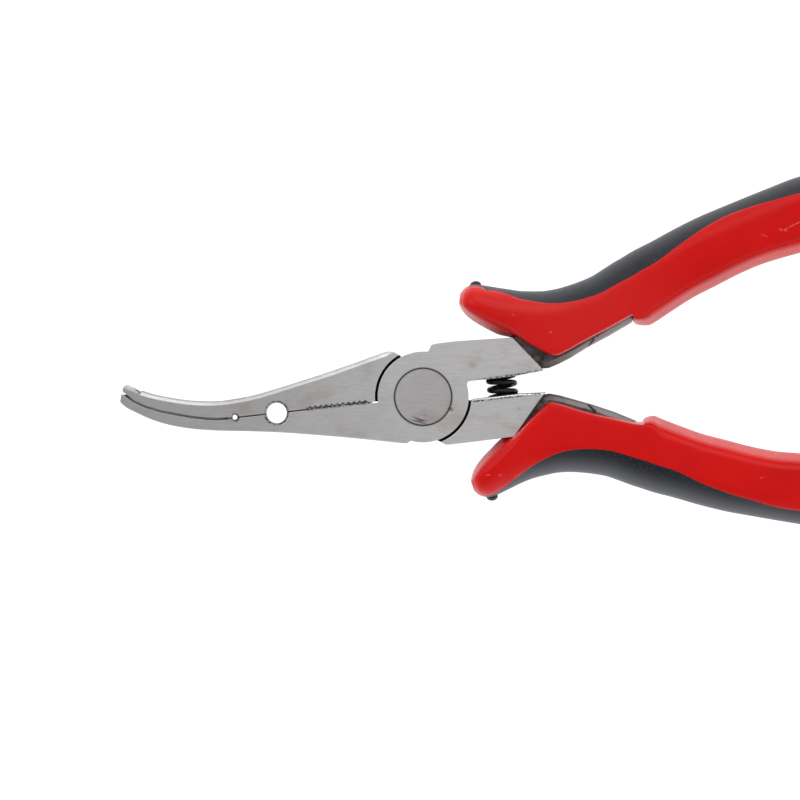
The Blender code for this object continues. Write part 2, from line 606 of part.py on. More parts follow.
def grip_pair(prefix, lower, neck, tang, into, cutters):
    """A shell and its inlay on one tang."""
    short = 0.03
    end = len(GRIP_RUNGS) - 1
    stations = [(0, 0)] + [(rung, 0) for rung in grip_stations(0, INLAY_FIRST - short)]
    stations += [(INLAY_FIRST - short, 0), (INLAY_FIRST, 1)]
    stations += [(rung, 1) for rung in grip_stations(INLAY_FIRST, INLAY_LAST)]
    stations += [(INLAY_LAST, 1), (INLAY_LAST + short, 0)]
    stations += [(rung, 0) for rung in grip_stations(INLAY_LAST + short, end)] + [(end, 0)]
    rungs = grip_rungs(lower)
    shell = loft(prefix + "_grip_shell", rungs, stations, True, into)
    first, last = INLAY_FIRST + 0.2, INLAY_LAST - 0.1
    inlay_stations = [(first, 1)] + [(rung, 1) for rung in grip_stations(first, last)] + [(last, 1)]
    inlay = loft(prefix + "_grip_inlay", rungs, inlay_stations, False, into)
    combine(inlay, nub(prefix, lower, cutters), "UNION")
    if lower:
        for grip in (shell, inlay, inlay.modifiers[0].object):
            place_lower(grip)
    step = (HEAD_THICKNESS - TANG_THICKNESS) / 2 - GAP * MM
    cut(shell, flat_plate(prefix + "_neck_room", grown(neck, GAP), -GAP * MM,
                          HEAD_THICKNESS + GAP * MM, cutters))
    cut(shell, flat_plate(prefix + "_tang_room", grown(tang, GAP), step,
                          HEAD_THICKNESS - step, cutters))
    return shell, inlay


def build():
    """Make every piece."""
    for old in list(bpy.context.scene.objects):
        bpy.data.objects.remove(old)
    pieces = collection("bent_nose_pliers")
    cutters = collection("cutters")
    steel = material("steel", STEEL, 0.34, 1.0)
    red = material("red_shell", RED, 0.3)
    grey = material("grey_inlay", GREY, 0.55)
    black = material("black_spring", BLACK, 0.4, 0.6)

    upper_tang = UPPER_TANG_OUTER + UPPER_TANG_HELD + UPPER_TANG_BARE
    lower_tang = LOWER_TANG_OUTER + LOWER_TANG_HELD + LOWER_TANG_BARE
    front = steel_half("front_half", front_outline(), upper_tang, 1, UPPER_SLOT, UPPER_NICK,
                       pieces, cutters)
    cut(front, countersink(cutters))
    rear = steel_half("rear_half", rear_outline(), lower_tang, -1, LOWER_SLOT, LOWER_NICK,
                      pieces, cutters)
    cut(rear, nose_hollow(cutters))
    pin = rivet(pieces)
    coil = spring(pieces)
    upper_neck = UPPER_NECK_INNER[:1] + [(9.0, UPPER_SLOT)] + UPPER_NECK_OUTER[3:]
    lower_neck = LOWER_NECK_INNER[:1] + [(9.0, LOWER_SLOT)] + LOWER_NECK_OUTER[3:]
    upper = grip_pair("upper", False, upper_neck, upper_tang, pieces, cutters)
    lower = grip_pair("lower", True, lower_neck, lower_tang, pieces, cutters)
    pivot = bpy.data.objects.new("pivot_axis", None)
    pieces.objects.link(pivot)
    for moving in (rear, *lower):
        moving.parent = pivot
    finishes = ((front, steel), (rear, steel), (pin, steel), (coil, black), (upper[0], red),
                (lower[0], red), (upper[1], grey), (lower[1], grey))
    for piece, finish in finishes:
        piece.data.materials.append(finish)


build()
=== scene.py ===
"""Looks for the bent-nose, spring-return pliers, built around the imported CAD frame."""

import math

import bmesh
import bpy
from mathutils import Matrix, Vector


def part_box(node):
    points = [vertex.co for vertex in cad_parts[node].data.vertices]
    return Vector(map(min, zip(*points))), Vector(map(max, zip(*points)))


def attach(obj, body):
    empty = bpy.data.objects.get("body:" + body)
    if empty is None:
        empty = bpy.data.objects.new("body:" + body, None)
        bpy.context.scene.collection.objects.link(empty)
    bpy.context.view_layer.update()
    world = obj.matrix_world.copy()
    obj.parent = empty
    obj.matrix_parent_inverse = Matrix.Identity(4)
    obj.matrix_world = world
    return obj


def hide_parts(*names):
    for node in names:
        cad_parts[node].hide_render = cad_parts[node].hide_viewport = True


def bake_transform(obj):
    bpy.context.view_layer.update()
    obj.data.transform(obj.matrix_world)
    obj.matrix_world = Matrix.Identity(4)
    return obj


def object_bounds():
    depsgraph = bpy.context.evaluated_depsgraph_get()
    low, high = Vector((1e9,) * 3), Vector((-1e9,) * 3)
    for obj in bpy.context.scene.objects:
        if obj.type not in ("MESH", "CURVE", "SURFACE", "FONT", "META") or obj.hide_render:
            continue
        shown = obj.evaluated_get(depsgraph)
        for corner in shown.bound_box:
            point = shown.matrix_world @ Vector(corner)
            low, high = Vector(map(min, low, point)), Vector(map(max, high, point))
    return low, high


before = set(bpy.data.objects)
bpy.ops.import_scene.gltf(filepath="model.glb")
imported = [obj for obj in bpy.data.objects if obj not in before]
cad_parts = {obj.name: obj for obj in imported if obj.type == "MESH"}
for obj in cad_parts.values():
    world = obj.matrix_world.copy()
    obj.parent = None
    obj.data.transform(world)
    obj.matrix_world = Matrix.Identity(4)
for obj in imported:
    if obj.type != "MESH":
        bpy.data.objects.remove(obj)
cad_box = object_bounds()

MM = 0.001
FRONT, REAR = "front", "rear"
FRONT_STEEL, REAR_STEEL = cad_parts["front_half"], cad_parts["rear_half"]

# Places read from the frame
HEAD_LOW, HEAD_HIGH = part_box("front_half")
MIDDLE = (HEAD_LOW.z + HEAD_HIGH.z) / 2
GRIP_LOW, GRIP_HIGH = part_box("upper_grip_shell")
GRIP_HALF_THICKNESS = (GRIP_HIGH.z - GRIP_LOW.z) / 2 / MM
SPRING_LOW, SPRING_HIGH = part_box("return_spring")
FLOOR_Z = cad_box[0][2]

# Camera: straight above, turned so that the tool leans in the frame, with a long lens; in metres
# and degrees
VIEW_CENTRE = (-0.0042, -0.0001)
VIEW_WIDTH = 0.144
VIEW_TURN = -6.3
CAMERA_HEIGHT = 1.1

# Studio: the room is bright at the sides and darker around the camera. The fall gives the cosine
# to the dark direction where it starts and ends, and the brightness there. Each light has a name,
# a place, a size and a power, in metres and watts.
DARK_OVERHEAD = (-0.15, -0.25, 1.0)
WORLD_FALL = (0.5, 1.0, 1.0, 0.42)
LIGHTS = (("back_panel", (0.25, 0.75, 0.65), 0.7, 1.6),
          ("side_panel", (0.9, -0.1, 0.6), 0.6, 0.8),
          ("high_panel", (-0.45, 0.55, 1.0), 0.3, 0.9))
FLOOR_SIZE, FLOOR_GAP = 4, 0.0002

# Grip rungs from the horn to the handle's end, in millimetres: outer edge x, y and inner edge
# x, y at mid thickness, depth of the inner rounding, and share of the full thickness
GRIP_RUNGS = [
    (8.75, 17.90, 8.30, 15.90, 0.9, 0.55), (9.80, 18.80, 8.95, 14.40, 2.6, 0.86),
    (11.30, 19.25, 10.30, 12.85, 3.1, 0.97), (13.10, 18.85, 12.30, 11.30, 3.3, 1.0),
    (15.20, 18.25, 14.70, 9.75, 3.2, 1.0), (17.30, 17.70, 17.30, 8.75, 2.2, 1.0),
    (19.40, 17.15, 20.20, 6.85, 1.2, 1.0), (21.50, 16.85, 22.70, 5.25, 0.8, 1.0),
    (23.70, 16.65, 24.50, 4.45, 0.8, 1.0), (25.90, 16.75, 26.70, 5.05, 0.8, 1.0),
    (28.10, 17.10, 29.40, 6.20, 0.8, 1.0), (30.30, 17.60, 32.30, 7.35, 0.8, 1.0),
    (32.60, 18.30, 35.20, 8.50, 0.8, 1.0), (34.90, 19.40, 38.20, 9.75, 0.8, 1.0),
    (36.20, 20.05, 39.30, 10.10, 0.8, 1.0), (36.90, 20.40, 39.60, 8.90, 1.4, 1.0),
    (38.50, 21.10, 41.80, 8.40, 2.6, 1.0), (40.80, 22.15, 43.60, 9.05, 3.4, 1.0),
    (44.00, 23.35, 46.50, 10.55, 3.4, 1.0), (48.50, 25.20, 50.50, 12.50, 3.4, 1.0),
    (53.00, 26.85, 54.80, 14.15, 3.4, 1.0), (57.50, 28.20, 59.00, 15.75, 3.4, 1.0),
    (62.00, 29.50, 63.20, 17.05, 3.4, 1.0), (66.50, 30.75, 67.20, 17.85, 3.4, 1.0),
    (71.00, 31.95, 71.30, 18.50, 3.4, 1.0), (76.00, 32.70, 75.80, 19.10, 3.4, 1.0),
    (81.00, 33.00, 80.40, 19.65, 3.4, 1.0), (86.00, 32.70, 85.00, 19.85, 3.4, 1.0),
    (91.00, 31.70, 89.60, 19.60, 3.4, 1.0), (95.50, 30.10, 93.80, 18.90, 3.4, 1.0),
    (98.60, 28.20, 97.00, 19.15, 2.8, 0.96), (100.20, 26.60, 99.30, 20.90, 2.4, 0.84),
    (100.75, 25.20, 100.45, 22.90, 0.9, 0.55)]
# The lower grip is the upper one turned over and slid, and its first rungs differ by these
# shifts of the outer and the inner edge
LOWER_GRIP_SLIDE = (-1.1, 0.35)
LOWER_GRIP_SHIFTS = [
    (-0.30, 0.45, -0.30, 0.45), (-0.25, 0.50, -0.25, 0.20), (0, 0.45, -0.20, 0),
    (0, 0.35, -0.20, -0.20), (0, 0.20, -0.35, -0.40), (0, 0, -0.50, -0.60),
    (0, 0, -0.56, -0.69), (0, 0, -0.65, -0.75), (0, 0, -0.72, -0.89), (0, 0, -0.60, -0.80),
    (0, 0, -0.30, -0.65), (0, 0, 0, -0.60), (0, 0, 0.20, -0.70), (0, 0, 0.50, -0.85),
    (0, 0, 0.85, -0.95), (0, 0, 0.85, -0.35), (0, 0, 0.35, -0.10)]
LOWER_NUB_SHIFT = (-0.10, 0.60)
RUNG_STEP = 0.125

# A grip's cross-section: a rounded outer side, a leaning inner wall, a slight crown, and the
# number of points along each stretch
OUTER_ROUNDING = 5.3
OUTER_POWER = 2.2
WALL_DEPTH_SHARE, WALL_HEIGHT_SHARE = 0.33, 0.62
CROWN = 0.22
LEAST_FLAT = 0.2
WALL_STEPS, TURN_STEPS, FLAT_STEPS, SHELL_STEPS, INLAY_STEPS = 3, 9, 5, 6, 9

# The inlay: rungs, with its reach from the outer edge there, on the front and on the back
INLAY_FRONT = [(1.5, 0.3), (2.6, 0.38), (3, 0.55), (3.25, 1.0), (3.4, 0.72), (4.1, 0.66),
               (4.6, 0.82), (5.2, 1.15), (5.7, 1.5), (7, 2.0), (10, 3.0), (13, 3.6), (17, 3.9),
               (18, 3.7), (19, 3.0), (20, 2.3), (21, 1.8), (22, 2.0), (23, 2.5), (24, 3.0),
               (26, 3.6), (28, 2.6), (29, 1.2)]
INLAY_BACK = [(1.5, 0.35), (4, 1.1), (7, 3.0), (10, 4.3), (13, 4.8), (17, 5.0), (18, 4.8),
              (19, 4.0), (20, 3.4), (21, 2.9), (22, 2.4), (23, 2.5), (24, 3.0), (26, 3.6),
              (28, 2.6), (29, 1.2)]
INLAY_FIRST, INLAY_LAST = 1.5, 29.0
LEAST_INLAY_REACH = 0.3
MOST_INLAY_SHARE = 0.98

# The pocket behind the inlay: its depth from the outer edge, its least depth, how far its floor
# starts inside the brim, how far it drops below it where the inlay is narrow and more where it
# is wide, and how many rungs its end walls take
INLAY_DEPTH, LEAST_DEPTH = 2.6, 1.6
BRIM_INSET = 0.1
SHALLOW_DROP, DEEPER_DROP = 0.25, 1.3
NARROW_REACH, REACH_TO_WIDE = 1.0, 1.5
FLOOR_SHARE = 0.8
CLOSED_SHARES = (0.7, 0.3)
POCKET_END = 0.02

# The nubs, and the black skin over each
NUB_PLACE, NUB_SIZE = (11.65, 19.0), (1.05, 0.78, 1.1)
NUB_BLACK_SHIFT, NUB_BLACK_RADIUS = 0.3, 1.4

# The spring's coil, with its first and last turns closed up.
WIRE_RADIUS = 0.5
SPRING_TURNS, SPRING_STEPS, SPRING_SIDES = 5.5, 48, 12
CLOSED_ENDS = 0.035

# Fine rounding of the steel edges, in millimetres, and angles in degrees: the edges that it
# rounds, the faces that count as flat, and the edges that stay sharp on the grips and the coil
EDGE_ROUNDING = 0.06
EDGE_ANGLE, FLAT_ANGLE = 32, 0.5
GRIP_SMOOTH_ANGLE, COIL_SMOOTH_ANGLE = 30, 50

# Directions of the grain left by grinding, in radians
GRAIN_TURN, RIVET_GRAIN_TURN = -0.11, -0.02

# Round features of the steel and the height of its front face, in millimetres from the pivot
RIVET_SEAM, RIVET_RIM = 5.15, 5.12
GRIP_HOLE, GRIP_HOLE_RADIUS = (-26.58, 0), 2.1
PIN_HOLE, PIN_HOLE_RADIUS = (-34.1, 0.0), 0.62
DISC_RADIUS = 8.75
FACE_HEIGHT = 8.5

# Surface marks, in millimetres: slants where the ground necks end, with painted shade along them,
# bands of painted reflection along the tangs' inner edges, the line of painted shade where the
# jaws meet, the teeth, the slot's edges that carry painted shadow, and the scratches
UPPER_SLANT, LOWER_SLANT = ((17.2, 8.86), (22.0, 2.55)), ((15.5, -8.92), (21.9, -1.6))
UPPER_REFLECTION_BAND = [(22.5, 2.5), (27.4, 4.1), (39.0, 9.2)]
LOWER_REFLECTION_BAND = [(22.0, -1.7), (30.2, -4.7), (37.6, -8.4)]
PARTING = [(-53.2, 6.1), (-51.9, 4.9), (-50.0, 3.75), (-47.3, 2.6), (-44.2, 1.65), (-41.8, 0.95),
           (-39.4, 0.4), (-37.4, 0.1), (-35.4, 0.0)]
TEETH_LINE = ((-21.2, 0.1), (-10.2, 0.1))
UPPER_SLOT_EDGE, LOWER_SLOT_EDGE = ((8.6, 1.8), (22.0, 2.4)), ((8.6, -1.8), (21.0, -1.72))
RED_SCRATCHES = [((67.2, 22.6), (70.85, 23.85)), ((67.0, 22.9), (68.2, 22.5)),
                 ((63.7, 22.3), (64.4, 21.95)), ((58.6, -21.2), (59.0, -21.0)),
                 ((17.7, 12.9), (18.0, 12.7)), ((23.8, 8.9), (24.1, 9.1)),
                 ((12.0, -15.6), (12.5, -15.4)), ((9.9, -15.2), (10.4, -15.3))]
# The patch of painted sheen on the upper grip: its centre and radius
SHEEN_CENTRE, SHEEN_RADIUS = (31, 13), 26

# Spans over which a tone changes, in metres: from the nose to the pivot, over which the painted
# shade on the steel lifts; where the band of painted reflection starts on the tang; to each side
# of the lap between the discs, for its painted shade; and from the lower grip to the upper one,
# over which the painted sheen on the inlay fades
NOSE_TO_PIVOT = (-0.050, 0.004)
REFLECTION_BAND_START = (0.0225, 0.0290)
LAP_HALF_HEIGHT = (0.0003, 0.0004)
LOWER_TO_UPPER = (-0.01, 0.01)

# Colours of the marks: black for painted shade in gaps and for dark marks, smudges, and the
# painted shade along the slants
SHADE_AND_MARK_BLACK = (0.018, 0.015, 0.015, 1)
SMUDGE = (0.10, 0.085, 0.08, 1)
# The last two colours are the painted shade along the upper and the lower slant.
RED_BROWN_SHADE, SHADE = (0.16, 0.045, 0.035, 1), (0.05, 0.03, 0.028, 1)


# ---------------------------------------------------------------- materials

class Nodes:
    """Short calls for building one material's node tree."""

    def __init__(self, name):
        self.material = bpy.data.materials.new(name)
        self.material.use_nodes = True
        self.tree = self.material.node_tree
        self.shader = self.tree.nodes["Principled BSDF"]
        self.place = self.tree.nodes.new("ShaderNodeTexCoord").outputs["Object"]

    def add(self, kind, **settings):
        node = self.tree.nodes.new("ShaderNode" + kind)
        for key, value in settings.items():
            setattr(node, key, value)
        return node

    def link(self, source, target):
        self.tree.links.new(source, target)

    def feed(self, socket, value):
        if hasattr(value, "is_output"):
            self.link(value, socket)
        else:
            socket.default_value = value

    def mapped(self, scale, turn, shift):
        """Object coordinates, squeezed by a scale along axes that are turned and shifted."""
        node = self.add("Mapping", vector_type="TEXTURE")
        self.link(self.place, node.inputs["Vector"])
        node.inputs["Scale"].default_value = [1 / part for part in scale]
        node.inputs["Rotation"].default_value = turn
        node.inputs["Location"].default_value = shift
        return node.outputs["Vector"]

    def noise(self, scale, detail=3.0, roughness=0.5, turn=(0, 0, 0), shift=(0, 0, 0)):
        """Noise with a number of cells per metre along each axis."""
        node = self.add("TexNoise")
        node.inputs["Scale"].default_value = 1.0
        node.inputs["Detail"].default_value = detail
        node.inputs["Roughness"].default_value = roughness
        self.link(self.mapped(scale, turn, shift), node.inputs["Vector"])
        return node.outputs["Fac"]

    def span(self, value, low, high, to_low=0.0, to_high=1.0, smooth=False):
        """A value carried from one range to another, and held at its ends."""
        node = self.add("MapRange", interpolation_type="SMOOTHSTEP" if smooth else "LINEAR")
        self.link(value, node.inputs["Value"])
        for socket, number in zip(("From Min", "From Max", "To Min", "To Max"),
                                  (low, high, to_low, to_high)):
            node.inputs[socket].default_value = number
        return node.outputs["Result"]

    def math(self, operation, first, second=0.0):
        node = self.add("Math", operation=operation)
        self.feed(node.inputs[0], first)
        self.feed(node.inputs[1], second)
        return node.outputs["Value"]

    def mix(self, share, first, second, blend="MIX"):
        node = self.add("Mix", data_type="RGBA", blend_type=blend)
        self.feed(node.inputs["Factor"], share)
        self.feed(node.inputs["A"], first)
        self.feed(node.inputs["B"], second)
        return node.outputs["Result"]

    def axis(self, name):
        node = self.add("SeparateXYZ")
        self.link(self.place, node.inputs["Vector"])
        return node.outputs[name]

    def normal_height(self):
        """How far the surface faces up or down, from 0 to 1."""
        node = self.add("SeparateXYZ")
        self.link(self.add("TexCoord").outputs["Normal"], node.inputs["Vector"])
        return self.math("ABSOLUTE", node.outputs["Z"])

    def ball(self, centre, radius):
        """1 at a point, fading to 0 at a radius, in millimetres."""
        distance = self.add("VectorMath", operation="DISTANCE")
        self.link(self.place, distance.inputs[0])
        distance.inputs[1].default_value = Vector(centre) * MM
        return self.span(distance.outputs["Value"], 0.0, radius * MM, 1.0, 0.0, smooth=True)

    def beyond(self, line, low, high):
        """0 before a line in plan and 1 beyond it, on its +X side; distances in millimetres."""
        start, end = (Vector((*point, 0)) * MM for point in line)
        across = Vector((start.y - end.y, end.x - start.x, 0)).normalized()
        across *= 1 if across.x > 0 else -1
        return self.span(self.along(across, start), low * MM, high * MM, smooth=True)

    def along(self, direction, start):
        """Distance from a start along a direction."""
        node = self.add("VectorMath", operation="DOT_PRODUCT")
        self.link(self.place, node.inputs[0])
        node.inputs[1].default_value = direction
        return self.math("SUBTRACT", node.outputs["Value"], direction.dot(start))

    def stroke(self, line, width):
        """1 on a line in plan, fading to 0 at a width to each side and past its ends."""
        start, end = (Vector((*point, 0)) * MM for point in line)
        length = (end - start).length
        forward = (end - start).normalized()
        across = Vector((-forward.y, forward.x, 0))
        side = self.math("ABSOLUTE", self.along(across, start))
        ends = self.math("ABSOLUTE", self.along(forward, (start + end) / 2))
        fade = 0.3 * MM
        return self.math("MULTIPLY", self.span(side, 0.0, width * MM, 1.0, 0.0),
                         self.span(ends, length / 2, length / 2 + fade, 1.0, 0.0))

    def strokes(self, points, width):
        """1 on a bent line through points in plan, fading as a stroke does."""
        return self.largest(*[self.stroke(line, width) for line in zip(points, points[1:])])

    def plan_distance(self, centre=(0, 0)):
        """Distance in plan from an upright line, which is the pivot's unless one is given."""
        flat = self.add("VectorMath", operation="MULTIPLY")
        self.link(self.place, flat.inputs[0])
        flat.inputs[1].default_value = (1, 1, 0)
        distance = self.add("VectorMath", operation="DISTANCE")
        self.link(flat.outputs["Vector"], distance.inputs[0])
        distance.inputs[1].default_value = Vector((*centre, 0)) * MM
        return distance.outputs["Value"]

    def ring(self, radius, width, centre=(0, 0)):
        """1 on an upright cylinder's surface, fading to 0 at a width inside and outside."""
        offset = self.math("SUBTRACT", self.plan_distance(centre), radius * MM)
        return self.span(self.math("ABSOLUTE", offset), 0.0, width * MM, 1.0, 0.0)

    def largest(self, *masks):
        result = masks[0]
        for mask in masks[1:]:
            result = self.math("MAXIMUM", result, mask)
        return result

    def bump(self, height, strength, distance):
        """Fine relief on the surface, with its depth in metres."""
        node = self.add("Bump")
        node.inputs["Strength"].default_value = strength
        node.inputs["Distance"].default_value = distance
        self.link(height, node.inputs["Height"])
        self.link(node.outputs["Normal"], self.shader.inputs["Normal"])


def grey(level):
    return (level, level, level, 1)


def nub_place(lower):
    """The nub's centre on the upper grip, or on the lower one before it is turned over."""
    shift = LOWER_NUB_SHIFT if lower else (0, 0)
    return [NUB_PLACE[i] + shift[i] for i in (0, 1)]


def steel_tone(n, near, shaded_far_tone, grain_turn=GRAIN_TURN):
    """Ground steel's colour and roughness, from its pivot end to its far end: painted shade that
    darkens it towards the far end, lengthwise grain, faint brown stains, and painted shade that
    makes sides darker than faces."""
    turn = (0, 0, grain_turn)
    broad = n.noise((110, 1300, 1300), 4, 0.6, turn)
    fine = n.noise((500, 7000, 7000), 3, 0.65, turn, (0.03, 0.01, 0.02))
    stain = n.noise((130, 190, 190), 5, 0.6, shift=(0.07, 0.02, 0.05))
    cloud = n.noise((90, 130, 130), 3, 0.5, shift=(0.01, 0.04, 0.02))
    # Painted shade: the steel darkens from the pivot towards the nose.
    tone = n.mix(n.span(n.axis("X"), *NOSE_TO_PIVOT), (*shaded_far_tone, 1), (*near, 1))
    tone = n.mix(n.span(broad, 0.3, 0.7), tone, grey(0.86), "MULTIPLY")
    tone = n.mix(n.span(fine, 0.35, 0.75, 0.0, 0.6), tone, grey(0.72), "MULTIPLY")
    tone = n.mix(n.span(cloud, 0.4, 0.7, 0.0, 0.6), tone, grey(0.88), "MULTIPLY")
    brown = n.span(stain, 0.50, 0.68, 0.0, 0.6, smooth=True)
    tone = n.mix(brown, tone, (0.84, 0.74, 0.68, 1), "MULTIPLY")
    # Painted shade: surfaces that turn away from straight up are darkened.
    painted_side_shade = n.span(n.normal_height(), 0.80, 0.97, 0.64, 1.0)
    tone = n.mix(1.0, tone, painted_side_shade, "MULTIPLY")
    rough = n.span(broad, 0.25, 0.75, 0.30, 0.42)
    n.bump(n.math("ADD", broad, fine), 0.3, 0.00002)
    return tone, rough


def forged_tone(n, patch, speck, band, band_tone):
    """The tang's dark, pitted skin, with a paler band of painted reflection along its inner edge.
    """
    tone = n.mix(n.span(patch, 0.35, 0.68), (0.055, 0.050, 0.048, 1), (0.19, 0.175, 0.175, 1))
    tone = n.mix(n.span(speck, 0.55, 0.7, 0.0, 0.6), tone, (0.045, 0.036, 0.033, 1))
    # Painted reflection: a paler band along the tang's inner edge, broken into patches.
    rubbed = n.span(n.strokes(band, 1.15), 0.05, 0.25)
    rubbed = n.math("MULTIPLY", rubbed, n.span(patch, 0.22, 0.45, 0.5, 1.0))
    rubbed = n.math("MULTIPLY", rubbed, n.span(n.axis("X"), *REFLECTION_BAND_START, 0.18, 1.0))
    return n.mix(rubbed, tone, (*band_tone, 1))


def shade_and_dark_marks(n, patch, speck, slot_edge):
    """Black painted into the steel: painted shadow along the slot's edge, painted shade in the
    seam round the rivet, between the lapped discs and where the jaws meet, and dark marks round
    the holes and in the teeth."""
    # The slot edge's dashes are painted shadow; the rivet seam's ring, the lap and the line where
    # the jaws meet are painted shade.
    slot_edge_shadow = n.math("MULTIPLY", n.stroke(slot_edge, 0.34), n.span(speck, 0.47, 0.53))
    seam_shade = n.ring(RIVET_SEAM, 0.30)
    hole = n.math("MULTIPLY", n.ring(GRIP_HOLE_RADIUS, 0.26, GRIP_HOLE), n.span(speck, 0.40, 0.55))
    pin = n.math("MULTIPLY", n.ring(PIN_HOLE_RADIUS, 0.28, PIN_HOLE), n.span(patch, 0.42, 0.5))
    height = n.math("ABSOLUTE", n.math("SUBTRACT", n.axis("Z"), MIDDLE))
    lap_shade = n.math("MULTIPLY", n.span(height, *LAP_HALF_HEIGHT, 1.0, 0.0),
                 n.math("LESS_THAN", n.plan_distance(), DISC_RADIUS * MM))
    parting_shade = n.span(n.strokes(PARTING, 0.36), 0.25, 0.6)
    teeth = n.math("MULTIPLY", n.stroke(TEETH_LINE, 0.42), n.span(speck, 0.36, 0.5))
    return n.largest(slot_edge_shadow, seam_shade, hole, pin, lap_shade, parting_shade, teeth)


def ground_steel(name, slant, slot_edge, slant_shade_colour, smudges, band, band_tone):
    """One half: bright ground faces, dark forged tang beyond the slant, painted shade in the seams
    and gaps, dark marks round the holes and in the teeth, and smudges, each with a place, a radius
    and a strength."""
    n = Nodes(name)
    tone, rough = steel_tone(n, (0.90, 0.885, 0.89), (0.62, 0.615, 0.63))
    patch = n.noise((700, 700, 700), 5, 0.65)
    speck = n.noise((2600, 2600, 2600), 3, 0.6)
    bare = n.beyond(slant, 0.02, 0.10)
    tone = n.mix(bare, tone, forged_tone(n, patch, speck, band, band_tone))
    rough = n.math("ADD", rough, n.math("MULTIPLY", bare, 0.12))
    # Painted shade: a dark line along the slant where the ground neck steps down to the tang,
    # red-brown at the upper slant.
    edge = n.math("MULTIPLY", n.stroke(slant, 0.16), n.span(patch, 0.3, 0.5))
    tone = n.mix(n.math("MULTIPLY", edge, 0.85), tone, slant_shade_colour)
    tone = n.mix(shade_and_dark_marks(n, patch, speck, slot_edge), tone, SHADE_AND_MARK_BLACK)
    for place, size, depth in smudges:
        spot = n.ball((*place, FACE_HEIGHT), size)
        tone = n.mix(n.math("MULTIPLY", spot, depth), tone, SMUDGE)
    n.link(tone, n.shader.inputs["Base Color"])
    n.shader.inputs["Metallic"].default_value = 1.0
    n.link(rough, n.shader.inputs["Roughness"])
    return n.material


def rivet_steel():
    """The rivet's ground heads, with a dark rub at one side, and a dark rim that is painted shade
    along the seam, with a dark spot on it.
    """
    n = Nodes("rivet_steel")
    tone, rough = steel_tone(n, (0.74, 0.72, 0.72), (0.74, 0.72, 0.72), RIVET_GRAIN_TURN)
    streak = n.noise((400, 3600, 800), 3, 0.6, (0, 0, -0.35))
    rub = n.math("MULTIPLY", n.ball((-1.1, -4.3, FACE_HEIGHT), 2.4), n.span(streak, 0.47, 0.58))
    tone = n.mix(rub, tone, (0.10, 0.09, 0.085, 1))
    # The dark rim is painted shade along the seam round the rivet, with a dark spot on it.
    dark = n.largest(n.ring(RIVET_RIM, 0.24), n.ball((4.5, -2.6, FACE_HEIGHT), 0.55))
    tone = n.mix(dark, tone, (0.02, 0.017, 0.016, 1))
    n.link(tone, n.shader.inputs["Base Color"])
    n.shader.inputs["Metallic"].default_value = 1.0
    n.link(rough, n.shader.inputs["Roughness"])
    return n.material


def red_plastic():
    """Semi-gloss red moulding with a slight orange-peel, a patch of painted sheen over the upper
    grip and a few pale scratches.
    """
    n = Nodes("red_shell")
    drift = n.noise((90, 90, 90), 2)
    tone = n.mix(n.span(drift, 0.35, 0.65), (0.575, 0.0015, 0.0012, 1), (0.645, 0.003, 0.002, 1))
    # Painted sheen: a paler patch over the upper grip.
    painted_sheen = n.ball((*SHEEN_CENTRE, MIDDLE / MM), SHEEN_RADIUS)
    tone = n.mix(painted_sheen, tone, (0.615, 0.013, 0.013, 1))
    worn = n.noise((1800, 1800, 1800), 3)
    marks = n.largest(*[n.stroke(line, 0.14) for line in RED_SCRATCHES])
    marks = n.math("MULTIPLY", marks, n.span(worn, 0.42, 0.55))
    tone = n.mix(n.math("MULTIPLY", marks, 0.38), tone, (0.85, 0.42, 0.40, 1))
    n.link(tone, n.shader.inputs["Base Color"])
    peel = n.noise((700, 700, 700), 2)
    rough = n.math("ADD", n.span(peel, 0.3, 0.7, 0.27, 0.33), n.math("MULTIPLY", marks, 0.3))
    n.link(rough, n.shader.inputs["Roughness"])
    n.shader.inputs["Specular IOR Level"].default_value = 0.2
    n.bump(n.math("SUBTRACT", peel, marks), 0.06, 0.00004)
    return n.material


def grey_rubber():
    """Soft dark grey moulding, matt, with a fine grain; painted sheen makes it paler where it
    turns away, mostly on the lower grip; the nubs at the horns are black."""
    n = Nodes("grey_inlay")
    drift = n.noise((140, 140, 140), 4)
    tone = n.mix(n.span(drift, 0.35, 0.65), (0.006, 0.007, 0.012, 1), (0.011, 0.013, 0.020, 1))
    # Painted sheen: the inlay is paler where it turns away from straight up, more on the lower
    # grip.
    sheen_where_turned_away = n.span(n.normal_height(), 0.60, 0.97, 1.0, 0.0)
    worn = n.math("MULTIPLY", sheen_where_turned_away, n.span(n.axis("Y"), *LOWER_TO_UPPER, 1.0, 0.42))
    tone = n.mix(worn, tone, (0.066, 0.068, 0.080, 1))
    dust = n.noise((2600, 2600, 2600), 2, shift=(0.01, 0.03, 0.02))
    tone = n.mix(n.span(dust, 0.55, 0.72, 0.0, 0.6), tone, (0.050, 0.054, 0.062, 1))
    upper, lower = nub_place(False), nub_place(True)
    slide_x, slide_y = LOWER_GRIP_SLIDE
    for x, y in ((upper[0], upper[1] + NUB_BLACK_SHIFT),
                 (lower[0] + slide_x, slide_y - lower[1] - NUB_BLACK_SHIFT)):
        tone = n.mix(n.ball((x, y, MIDDLE / MM), NUB_BLACK_RADIUS), tone, grey(0.003))
    n.link(tone, n.shader.inputs["Base Color"])
    grain = n.noise((7000, 7000, 7000), 2)
    n.link(n.span(grain, 0.3, 0.7, 0.38, 0.52), n.shader.inputs["Roughness"])
    n.shader.inputs["Specular IOR Level"].default_value = 0.30
    n.bump(grain, 0.25, 0.00003)
    return n.material


